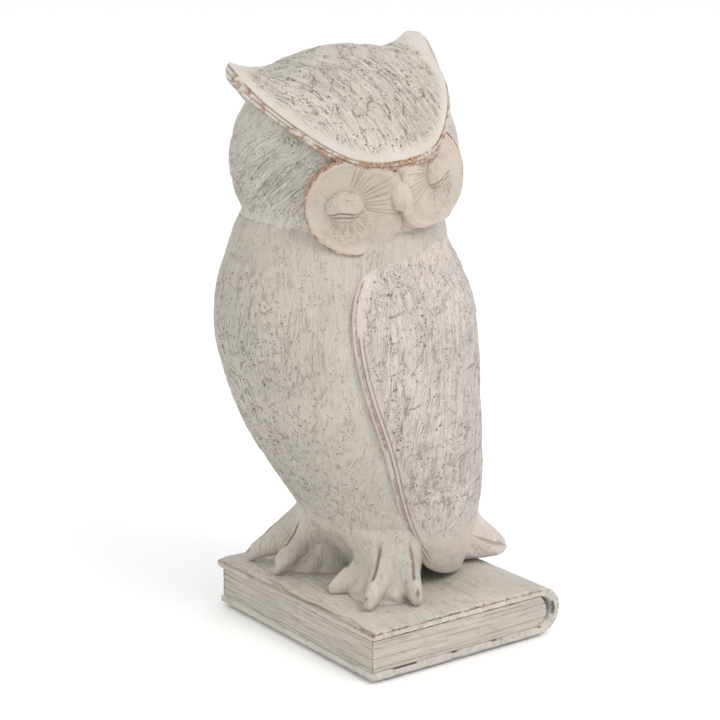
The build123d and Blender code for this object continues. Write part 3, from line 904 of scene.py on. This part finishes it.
wing_finish = whitewash("whitewash_wing", ROSE, ROSE_SHADE, 0.6, 1.05)
for side, name, node, seed in (
        (1, "left_wing_leaf", "left_wing", 120), (-1, "right_wing_leaf", "right_wing", 150)):
    rows, edge, lift = wing_skin(side)
    grain = combed(rows + np.array([0, 0, 40.0]))
    outer = ease((lift + 0.2) / 0.6)
    level = rows[..., 2]
    field = ease((edge - 3) / 5) * ease((level - 42) / 24) * ease((neck + 2 - level) / 22)
    amount = (0.28 + 0.72 * field) * outer
    height, wash = tooling(grain, 1.0, seed)
    scored = bump(edge - 2.2, 0.42) + 0.8 * bump(edge - 4.0, 0.38)
    scored = scored * outer * ease((drift(rows * 0.09, seed + 9) - 0.30) / 0.15)
    scored = scored * ease((rows[..., 2] - 30) / 12)
    split = cracks(rows[..., 1], rows[..., 2], (-66, 55), (30, 165), 60, seed + 5)
    split = split * amount * ease((edge - 4) / 3)
    rows = rows + outward(rows) * (height * amount * 0.85 - 0.30 * scored - 0.5 * split)[..., None]
    rub = bump(edge - 1.4, 1.0) * outer * ease((drift(rows * 0.07, seed + 7) - 0.45) / 0.1)
    marks = np.stack([
        amount, np.clip(wash * amount + 0.85 * scored + 0.85 * split, 0, 1), 0.75 * rub], -1)
    skin_piece(name, rows, grain, marks, wing_finish, [node])


# ---- tail ----
# A short fan, its own casting in resin: it leaves the back in a curve and ends just over the
# upper board. It is only lightly combed along its length, and rubbed red at its tip.
def tail_skin():
    """The fan's side view as a closed loop, repeated from side to side, thinner at both sides."""
    top_y = np.array([20.0, 27.0, 33.3, 34.8, 37.2, 41.2, 46.2, 50.3, 53.0, 53.8, 53.0, 50.4])
    top_z = np.array([69.0, 69.3, 68.5, 62.0, 53.5, 45.4, 40.0, 36.2, 32.6, 28.6, 24.8, 22.9])
    under_y = np.array([40.0, 30.0, 20.0])
    under_z = np.array([22.6, 22.6, 22.8])
    loop_y = np.concatenate([top_y, under_y, [17.0], top_y[:1]])
    loop_z = np.concatenate([top_z, under_z, [46.0], top_z[:1]])
    loop = np.stack([loop_y, loop_z], -1)
    distance = np.concatenate([[0], np.cumsum(np.linalg.norm(np.diff(loop, axis=0), axis=1))])
    at = np.linspace(0, distance[-1], 231)[:-1]
    side_view = np.stack([np.interp(at, distance, loop[:, k]) for k in range(2)], -1)
    for _ in range(6):
        side_view = 0.5 * side_view + 0.25 * (np.roll(side_view, 1, 0) + np.roll(side_view, -1, 0))
    share = np.linspace(-0.995, 0.995, 110)
    y, z = side_view[:, 0], side_view[:, 1]
    half = np.interp(y, [17, 32, 46.8, 54], [15.7, 16.9, 21.9, 20.4])
    round_off = (1 - np.abs(share) ** 3.2) ** (1 / 3.2)
    middle = np.interp(y, [17, 34, 54], [44, 32, 28.0])
    drawn_in = 3.0 * (1 - round_off[:, None]) * ease((y - 36) / 8)
    return np.stack([
        share[:, None] * half, y - drawn_in, middle + (z - middle) * round_off[:, None]], -1)


rows = tail_skin()
grain = np.stack([rows[..., 0], rows[..., 1] * 0.15, rows[..., 2] * 0.15], -1)
grain[..., 0] += 3 * (drift(rows * 0.07, 91) - 0.5)
height, wash = tooling(grain * 0.8, 1.0, 92)
rows = rows + outward(rows) * (0.3 * height - 0.2)[..., None]
rub = ease((rows[..., 1] - 50.5) / 2.5) * ease((rows[..., 2] - 24) / 4)
marks = np.stack([0 * rub + 0.4, 0.2 * wash, 0.85 * rub], -1)
tail_finish = whitewash("whitewash_tail", ROSE, ROSE_SHADE, 0.8, 0.6)
skin_piece("tail_fan", rows, grain, marks, tail_finish, ["tail"])


# ---- skull ----
# The round head, a hollow casting that sits on the dowel and is turned to the owl's left. Its
# cheeks are scratched in short strokes that run up towards the face, and below them it is
# filled out to the width of the neck.
def turn_matrix(axis, degrees):
    """A turn about one axis, as numpy rows."""
    return np.array(Matrix.Rotation(math.radians(degrees), 3, axis))


skull_low, skull_high = (np.array(corner) * 1000 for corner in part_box("head"))
half_head = np.array([46.0, 46.75, 43.0])
head_turn = turn_matrix("Z", -11) @ turn_matrix("Y", 3.7) @ turn_matrix("X", 6)
head_centre = np.append((skull_low[:2] + skull_high[:2]) / 2, skull_high[2] - 43.05)


def in_place(local):
    """From the head's own axes, X forward, Y to the owl's left, Z up, to the figure's."""
    return local @ head_turn.T + head_centre


def cheek_grain(place):
    """Grain of the cheeks: the combing of the breast, leant over towards the face with height."""
    rise = np.clip(place[..., 2] - neck, 0, None)
    lean = np.where(rise < 14, rise ** 2 / 28, rise - 7)
    leant = place.copy()
    leant[..., 0] -= 1.25 * lean
    leant[..., 1] -= 0.35 * lean
    return combed(leant)


pole = np.linspace(0.004, 0.996, 190)[:, None] * math.pi
angle = np.linspace(0, 2 * math.pi, 360, endpoint=False)
local = half_head * np.stack([
    np.sin(pole) * np.cos(angle), np.sin(pole) * np.sin(angle), np.cos(pole) + 0 * angle], -1)
amount = 0.45 + 0.5 * ease((-local[..., 1] - 5) / 25) * ease((25 - local[..., 2]) / 20)
rows = in_place(local)
# level by level, the larger of the ball and a sleeve that narrows upwards from the neck
neck_mid = np.array([0.0, torso_stations[-2, 1]])
neck_half = torso_stations[-2, 2:] * np.array([half_width, half_depth]) - 0.25
above_neck = rows[..., 2] - neck
apart = np.linalg.norm((rows[..., :2] - neck_mid) / neck_half, axis=-1) + 1e-6
above = np.clip(above_neck, 0, None)
sleeve = 1 - 0.0135 * above - 0.015 * np.clip(-above_neck, 0, None)
blend = 0.05 * ease(above / 3)
filled = 0.5 * (apart + sleeve + np.sqrt((apart - sleeve) ** 2 + blend ** 2))
filled = np.where(above_neck > -3, filled, np.minimum(apart, 0.94))
rows[..., :2] = neck_mid + (rows[..., :2] - neck_mid) * (filled / apart)[..., None]
amount = 0.35 + (amount - 0.35) * ease(above / 14)
rows = rows + throat(rows)
grain = cheek_grain(rows)
height, wash = tooling(grain, 1.0, 70)
rows = rows + outward(rows) * (height * amount * (0.8 - 0.25 * ease(above / 14)) - 0.25)[..., None]
rows[..., 2] = np.maximum(rows[..., 2], neck - 3)
marks = np.stack([amount, wash * amount, 0 * amount], -1)
skull_finish = whitewash("whitewash_skull", PALE, PALE_SHADE, 0.75)
skin_piece("skull", rows, grain, marks, skull_finish, ["head"])


# ---- brow crest ----
# The cap of the head with its overhanging brow and both ear tufts, cast on its own and glued
# over the skull. Three lines are scored along the lip, and the lip is rubbed to terracotta.
# The left tuft is bent up a little more than the right one.
def brow_height(side):
    """Height of the brow's lower edge, for a distance to the owl's left."""
    return 0.12 * half_head[2] + 25.0 * np.abs(side / 37.4) ** 2.5


# from the middle of the brow over the ear's tip to the middle of the back, in the head's axes
half_rim = np.array([
    (49.4, 0.0, 7.4), (48.5, 10.0, 8.3), (44.3, 20.0, 12.0), (37.2, 28.0, 18.0),
    (27.3, 34.6, 24.6), (15.0, 39.2, 31.0), (2.5, 41.6, 36.8), (-6.0, 42.4, 40.6),
    (-11.5, 42.0, 42.0), (-16.2, 39.8, 41.2), (-19.5, 36.4, 36.0), (-25.0, 33.6, 27.5),
    (-33.5, 26.5, 20.5), (-40.2, 14.5, 16.0), (-43.0, 0.0, 14.5)])


def rim_line(count):
    """The brow's upper edge and the back rim as one closed line, evenly spaced."""
    other = half_rim[1:-1][::-1] * np.array([1, -1, 1])
    loop = np.vstack([half_rim, other, half_rim[:1]])
    loop = np.vstack([loop[-4:-1], loop, loop[1:4]])
    gaps = np.linalg.norm(np.diff(loop, axis=0), axis=1)
    distance = np.concatenate([[0], np.cumsum(gaps ** 0.7)])
    fine = smooth_line(np.linspace(distance[3], distance[-4], 4000), distance, loop)
    run = np.concatenate([[0], np.cumsum(np.linalg.norm(np.diff(fine, axis=0), axis=1))])
    at = np.linspace(0, run[-1], count, endpoint=False)
    return np.stack([np.interp(at, run, fine[:, k]) for k in range(3)], -1)


def crest_skin(count):
    """Lines from the crown to the rim, over the lip and back under it to the middle of the skull.

    On top a line keeps to the skull's form, a little larger, and flares out to the rim near its
    end, which makes the hollow between the crown and each ear. The lip is a band below the rim."""
    rim = rim_line(count)
    on_left = ease((rim[:, 1] - 26) / 10)
    rim[:, 2] += on_left * ease((rim[:, 2] - 30) / 9) * (1.1 + 1.6 * ease((-12 - rim[:, 0]) / 8))
    rim[:, 2] -= 1.6 * bump(rim[:, 1] - 21, 9) * (rim[:, 0] > 20)
    rim[:, 1] -= 1.3 * on_left * bump(rim[:, 0] - 8, 13)
    scaled = rim / half_head
    reach = np.linalg.norm(scaled, axis=1)
    heading = scaled / reach[:, None]
    polar = np.arccos(np.clip(heading[:, 2], -1, 1))
    flat = heading[:, :2] / np.linalg.norm(heading[:, :2], axis=1, keepdims=True)
    front = ease((rim[:, 0] + 22) / 12)
    share = 1 - (1 - np.linspace(0.004, 1, 112)) ** 1.25
    bulk = 1.036
    flare = share[:, None] ** (2.2 + 5.3 * ease((reach - 1.05) / 0.15))
    spread = bulk + (reach - bulk) * flare
    tilt = share[:, None] * polar
    top = np.stack([
        np.sin(tilt) * flat[:, 0], np.sin(tilt) * flat[:, 1], np.cos(tilt)], -1)
    top = top * spread[..., None] * half_head
    ear = ease((reach - 1.08) / 0.18)
    thick = (4.4 + 1.6 * ear) * front + 0.6 * (1 - front)
    way = np.stack([0.10 + 0.15 * ear, np.sign(rim[:, 1]) * 0.35 * ear, -1 + 0 * ear], -1)
    way /= np.linalg.norm(way, axis=1, keepdims=True)
    band = np.linspace(0, 1, 26)[1:, None, None]
    bow = 0.7 * np.sin(band * math.pi) ** 0.6 * front[:, None]
    aside = np.stack([flat[:, 0], flat[:, 1], 0 * ear], -1)
    lip_band = rim + band * thick[:, None] * way + bow * aside
    low = lip_band[-1]
    back = np.linspace(0, 1, 18)[1:, None, None]
    target = heading * np.array([1, 1, 0.9]) * half_head * 0.86
    beneath = low + (target - low) * back ** 0.9
    core = target + (np.array([0, 0, 8.0]) - target) * np.linspace(0, 0.97, 6)[1:, None, None]
    return np.concatenate([top, lip_band, beneath, core]), len(share), len(band), thick, front


columns = 560
local, top_rows, lip_rows, thick, front = crest_skin(columns)
x, y, z = (local[..., k] for k in range(3))
sway = np.stack([drift(local * 0.06, seed) for seed in (300, 301, 302)], -1) - 0.5
bent_x, bent_y, bent_z = (local[..., k] + 5.0 * sway[..., k] for k in range(3))
grain = np.stack([
    bent_y - 0.32 * bent_x + 0.2 * (bent_z - 43), (bent_x + 0.3 * bent_y) * 0.17,
    bent_z * 0.17], -1)
height, wash = tooling(grain, 1.0, 310)
number = np.arange(len(local))[:, None]
to_rim = np.linalg.norm(local - local[top_rows - 1][None], axis=-1)
amount = ease((to_rim - 1.5) / 6) * (number < top_rows)
ear_part = ease((np.linalg.norm(local / half_head, axis=-1) - 1.13) / 0.08)
amount = 0.12 + 0.88 * amount * (1 - 0.75 * ear_part)
inner = number >= top_rows + lip_rows
amount = np.where(inner, 0.0, amount)
band = (number - top_rows + 1) / lip_rows * thick[None]
on_lip = (number >= top_rows - 1) & ~inner
scored = np.zeros(x.shape)
wobble = 0.45 * (drift(local * 0.16, 320) - 0.5)
for place, width in ((0.06, 0.36), (0.42, 0.26), (0.90, 0.40)):
    broken = drift(np.stack([x * 0.12, y * 0.12, z * 0.12 + place * 9], -1), 321)
    line = bump(band - place * thick + wobble, width) * ease((broken - 0.22) / 0.15)
    scored = np.maximum(scored, line * on_lip)
split = cracks(x, y, (-30, -34), (44, 34), 36, 330) * amount
rows = in_place(local)
rows = rows + outward(rows) * (height * amount * 0.9 - 0.38 * scored - 0.45 * split)[..., None]
rows[..., 2] = np.minimum(rows[..., 2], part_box("brow_crest")[1][2] * 1000)
near_rim = bump(to_rim, 0.8) * (number < top_rows)
patch = drift(local * np.array([0.3, 0.3, 0.9]), 335) - 0.5
rub = front * np.where(on_lip, 0.50 + 0.34 * bump(y, 32) + 0.55 * patch, 0.5 * near_rim)
marks = np.stack([
    amount, np.clip(wash * amount + 0.80 * scored * front + 0.8 * split, 0, 1),
    np.clip(rub + 0.5 * split * amount, 0, 1)], -1)
crest_finish = whitewash("whitewash_crest", PALE, PALE_SHADE, 1.1, 1.0)
skin_piece("brow_cap", rows, grain, marks, crest_finish, ["brow_crest"])


# ---- face discs ----
# Two round plates set into the skull under the brow, dished and splayed outwards. Fine rays
# were drawn from each eye towards the beak and down the cheek. The rims are rubbed to terracotta.
disc_radius = 19.6
disc_forward = 0.91 * half_head[0] + 4.4
disc_spread = 17.8
disc_level = -0.145 * half_head[2]
disc_dish = 1.4
disc_splay = 29.0
face_turn = turn_matrix("X", 10)


def on_face(local):
    """From the face's axes, which lean more than the skull does, to the head's own."""
    level = np.array([0, 0, disc_level])
    return (local - level) @ face_turn.T + level


def disc_to_face(side, outward_side, upward, out):
    """From a disc's own measures, towards the cheek, up and out of the face, to the face's axes."""
    angle = math.radians(side * disc_splay)
    forward = np.array([math.cos(angle), math.sin(angle), 0])
    sideways = np.array([-math.sin(angle), math.cos(angle), 0]) * side
    centre = np.array([disc_forward, side * disc_spread, disc_level])
    return (centre + outward_side[..., None] * sideways + upward[..., None] * np.array([0, 0, 1.0])
            + out[..., None] * forward)


face_rows = 78
eye_out = 0.2 * disc_radius
eye_up = 0.07 * disc_radius
rays = np.random.default_rng(7)


def ray_marks(across, upward, spokes, start, ends, width):
    """Fine grooves that leave the eye at given angles, from a start to an end distance."""
    from_eye = np.hypot(across - eye_out, upward - eye_up)
    bearing = np.arctan2(upward - eye_up, across - eye_out)
    grooves = np.zeros(across.shape)
    for spoke, end in zip(spokes, ends):
        away = np.abs((bearing - spoke + math.pi) % (2 * math.pi) - math.pi) * from_eye
        run = ease((from_eye - start) / 1.5) * ease((end - from_eye) / 2.0)
        grooves = np.maximum(grooves, bump(away, width) * run)
    return grooves


disc_finish = whitewash(
    "whitewash_disc", (0.535, 0.465, 0.40, 1), (0.475, 0.415, 0.36, 1), 0.8, 0.8)
for side, name, node in ((1, "left_disc", "left_face_disc"), (-1, "right_disc", "right_face_disc")):
    share = np.linspace(0.01, 1, face_rows)
    angle = np.linspace(0, 2 * math.pi, 300, endpoint=False)
    # the left plate is dented at its lower edge
    lower = bump((angle + 1.15 + math.pi) % (2 * math.pi) - math.pi, 0.6) * (side > 0)
    radius = disc_radius * share[:, None] * (1 - 0.13 * lower * share[:, None] ** 2)
    out = -disc_dish * (1 - share[:, None] ** 2) + 0 * angle
    out = out + 0.5 * bump(radius - disc_radius + 1.6, 1.0)
    # the rim falls back into the skull, and a flat back closes the plate there
    fall = np.linspace(0, 1, 18)[1:, None]
    closing = np.linspace(0.9, 0.1, 5)[:, None] + 0 * angle
    radius = np.vstack([radius, radius[-1] + 0.35 * np.sin(fall * math.pi), disc_radius * closing])
    out = np.vstack([out, 0.2 - 14 * fall ** 1.4 + 0 * angle, 0 * closing - 14.2])
    across = radius * np.cos(angle)
    upward = radius * np.sin(angle)
    fan = np.concatenate([
        math.pi + np.linspace(-1.05, 0.35, 15) + rays.normal(0, 0.025, 15),
        -math.pi / 2 + np.linspace(-0.8, 0.7, 16) + rays.normal(0, 0.04, 16)])
    ends = np.concatenate([rays.uniform(15, 24, 15), rays.uniform(9.5, 13.5, 16)])
    grooves = ray_marks(across, upward, fan, 7.4, ends, 0.22)
    out = out - 0.24 * grooves
    # towards the beak and the throat the plate fades into the head
    fade = ease(((-0.80 * across - 0.6 * upward) / (radius + 0.01) - 0.42) / 0.40)
    out = out - 5.0 * fade * ease((radius / disc_radius - 0.45) / 0.60) ** 2
    local = on_face(disc_to_face(side, across, upward, out))
    # what would stand above the brow sinks under it, and what passes the middle sinks too
    over = ease((local[..., 2] - brow_height(local[..., 1]) + 1.2) / 1.6)
    local[..., 0] -= 7.0 * over
    beyond = np.clip(-side * local[..., 1], 0, None)
    local[..., 0] -= 2 * beyond * math.tan(math.radians(disc_splay)) + 1.5 * ease(beyond / 1.5)
    rows = in_place(local)
    grain = local * 0.8
    height, wash = tooling(grain, 1.0, 400 + side)
    face = (np.arange(len(radius)) < face_rows)[:, None]
    under_eye = ease((12 - np.hypot(across - eye_out, upward + 6)) / 6)
    amount = np.where(face, 0.22 + 0.25 * under_eye, 0.2)
    rows = rows + outward(rows) * (height * amount * 0.5 * face)[..., None]
    rim = bump(radius - disc_radius, 1.0) * (out > -4)
    cheek_side = ease((across / disc_radius + 0.45) / 0.5)
    red_wash = bump(radius - 16.5, 3.0) * ease((upward - 2) / 8) * ease((across - 2) / 8)
    ragged = drift(local * 0.5, 430 + side)
    brown = bump(radius - disc_radius + 0.2, 0.5) * ease((ragged - 0.3) / 0.2) * (out > -6)
    marks = np.stack([
        amount, np.clip(0.45 * grooves + 0.8 * brown * cheek_side, 0, 1),
        np.clip((0.55 + 0.6 * ragged) * rim * cheek_side + 0.42 * red_wash, 0, 1)], -1)
    skin_piece(name, rows, grain, marks, disc_finish, [node])


# ---- eyes ----
# Closed eyes: a low mound of resin pressed onto each disc, with two wavy lines cut across it
# below the middle that leave a narrow lid between them, rubbed to terracotta.
lid_finish = whitewash("whitewash_lid", (0.54, 0.475, 0.415, 1), (0.485, 0.425, 0.37, 1), 0.6, 0.8)
eye_half_length = 7.7
eye_half_height = 6.3
for side, name, node in ((1, "left_eyelid", "left_eye"), (-1, "right_eyelid", "right_eye")):
    share = np.linspace(0.01, 1, 80)
    angle = np.linspace(0, 2 * math.pi, 220, endpoint=False)
    along = eye_half_length * share[:, None] * np.cos(angle)
    upward = eye_half_height * share[:, None] * np.sin(angle)
    dome = 3.6 * np.sqrt(np.clip(1 - share[:, None] ** 2, 0, 1)) + 0 * angle
    slit = -2.3 + 0.14 * along + 0.5 * np.sin(along * 0.6 + 0.8)
    lower = slit - 2.0 * np.clip(1 - (along / 7.6) ** 2, 0, 1) ** 0.7
    run = ease((7.4 - np.abs(along)) / 1.2)
    cut = np.maximum(bump(upward - slit, 0.34), 0.85 * bump(upward - lower, 0.30)) * run
    lid = ease((upward - lower) / 0.4) * ease((slit - upward) / 0.4) * run
    dome = dome - 0.75 * cut - 0.25 * lid
    under = np.linspace(0.95, 0.05, 6)[:, None]
    along = np.vstack([along, eye_half_length * under * np.cos(angle)])
    upward = np.vstack([upward, eye_half_height * under * np.sin(angle)])
    dome = np.vstack([dome, -1.5 * (1 - under) - 0.6 + 0 * angle])
    blank = np.zeros((6, len(angle)))
    local = on_face(disc_to_face(side, eye_out + along, eye_up + upward, dome - disc_dish))
    rows = in_place(local)
    grain = local * 0.9
    height, wash = tooling(grain, 1.0, 440 + side)
    rows = rows + outward(rows) * (0.18 * height)[..., None]
    marks = np.stack([
        0 * along + 0.35, np.vstack([0.85 * cut, blank]), np.vstack([0.55 * lid, blank])], -1)
    skin_piece(name, rows, grain, marks, lid_finish, [node])


# ---- beak ----
# A drop-shaped beak pressed on between the discs. It is narrow under the brow, swells towards
# its hooked tip, and is rubbed to terracotta on the edge beside the tip.
beak_length = 18.9
share = np.linspace(0, 1, 90)
# share of the length from the top, height above the face, thickness
values = smooth_line(share, [0, 0.35, 0.65, 0.86, 0.95, 1.0], np.array([
    (0.0, 4.6, 0.42), (0.30, 5.2, 0.74), (0.58, 6.0, 0.90), (0.80, 6.6, 0.66),
    (0.93, 6.6, 0.42), (1.0, 6.0, 0.10)]))
angle = np.linspace(0, 2 * math.pi, 150, endpoint=False)
top = disc_level + 9.7
width = values[:, 2, None] * 4.8
swell = np.sign(np.cos(angle)) * np.abs(np.cos(angle)) ** 0.9
local = np.stack([
    disc_forward + values[:, 1, None] - 0.6 + values[:, 2, None] * 5.0 * swell,
    width * np.sin(angle), top - values[:, 0, None] * beak_length + 0 * angle], -1)
lean_out = math.tan(math.radians(disc_splay))
above_disc = local[..., 0] - disc_forward - (disc_spread + local[..., 1]) * lean_out
above_disc = np.where(local[..., 1] < 0, above_disc, 9.0)
local = on_face(local)
rows = in_place(local)
grain = np.stack([local[..., 1], local[..., 0] * 0.3, local[..., 2] * 0.18], -1)
height, wash = tooling(grain, 1.0, 470)
rows = rows + outward(rows) * (0.3 * height)[..., None]
sunk = 4.6 * ease((values[:, 0, None] - 0.15) / 0.5)
edge_line = bump(above_disc + sunk - 0.3, 0.5) * ease((values[:, 0, None] - 0.45) / 0.2)
red = ease((values[:, 0, None] - 0.6) / 0.2) * ease((-np.sin(angle) - 0.3) / 0.4)
marks = np.stack([0 * edge_line + 0.35, 0.85 * edge_line, 0.75 * red], -1)
skin_piece("beak_drop", rows, grain, marks, lid_finish, ["beak"])


# ---- floor, light and camera ----
# A plain white table, a large soft lamp to the right of the camera, a weak one to the left
# and an even white surround.
def floor_finish():
    """Matt white paint with a barely visible tooth."""
    finish, add = new_finish("white_table", 0.9)
    tooth = noise(add, object_place(add), 300.0, 3.0)
    relief = add("Bump", None, Strength=0.05, Distance=0.0002, Height=tooth)
    add("shader", None, Base_Color=(0.965, 0.965, 0.965, 1), Normal=relief)
    return finish


reach = 6.0
table = bpy.data.meshes.new("table")
corners = [(-reach, -reach, 0), (reach, -reach, 0), (reach, reach, 0), (-reach, reach, 0)]
table.from_pydata(corners, [], [(0, 1, 2, 3)])
table.materials.append(floor_finish())
floor = bpy.data.objects.new("table", table)
bpy.context.scene.collection.objects.link(floor)

scene = bpy.context.scene
surround = bpy.data.worlds.new("surround")
surround.use_nodes = True
surround.node_tree.nodes["Background"].inputs["Color"].default_value = (1.0, 1.0, 1.0, 1)
surround.node_tree.nodes["Background"].inputs["Strength"].default_value = 1.03
scene.world = surround
scene.view_settings.view_transform = "Standard"

middle = Vector((0, -0.01, 0.12))


def soft_lamp(name, place, size, power, colour):
    """A square lamp that faces the middle of the figure."""
    lamp = bpy.data.lights.new(name, "AREA")
    lamp.shape = "SQUARE"
    lamp.size = size
    lamp.energy = power
    lamp.color = colour
    holder = bpy.data.objects.new(name, lamp)
    holder.location = place
    holder.rotation_euler = (middle - Vector(place)).to_track_quat("-Z", "Y").to_euler()
    scene.collection.objects.link(holder)


soft_lamp("key_lamp", (0.95, 0.10, 1.05), 0.6, 7.0, (1.0, 0.955, 0.92))
soft_lamp("left_lamp", (-0.5, -1.2, 0.5), 0.8, 1.2, (0.93, 1.0, 0.95))

camera = bpy.data.cameras.new("camera")
camera.lens = 100.0
camera.sensor_width = 36.0
camera_holder = bpy.data.objects.new("camera", camera)
backward = Vector((0.78467, -0.57219, 0.23853)).normalized()
right = Vector((0.58920, 0.80799, 0.0)).normalized()
upward = backward.cross(right)
placing = Matrix((right, upward, backward)).transposed().to_4x4()
placing.translation = Vector((0.6586, -0.4943, 0.3188))
camera_holder.matrix_world = placing
scene.collection.objects.link(camera_holder)
scene.camera = camera_holder
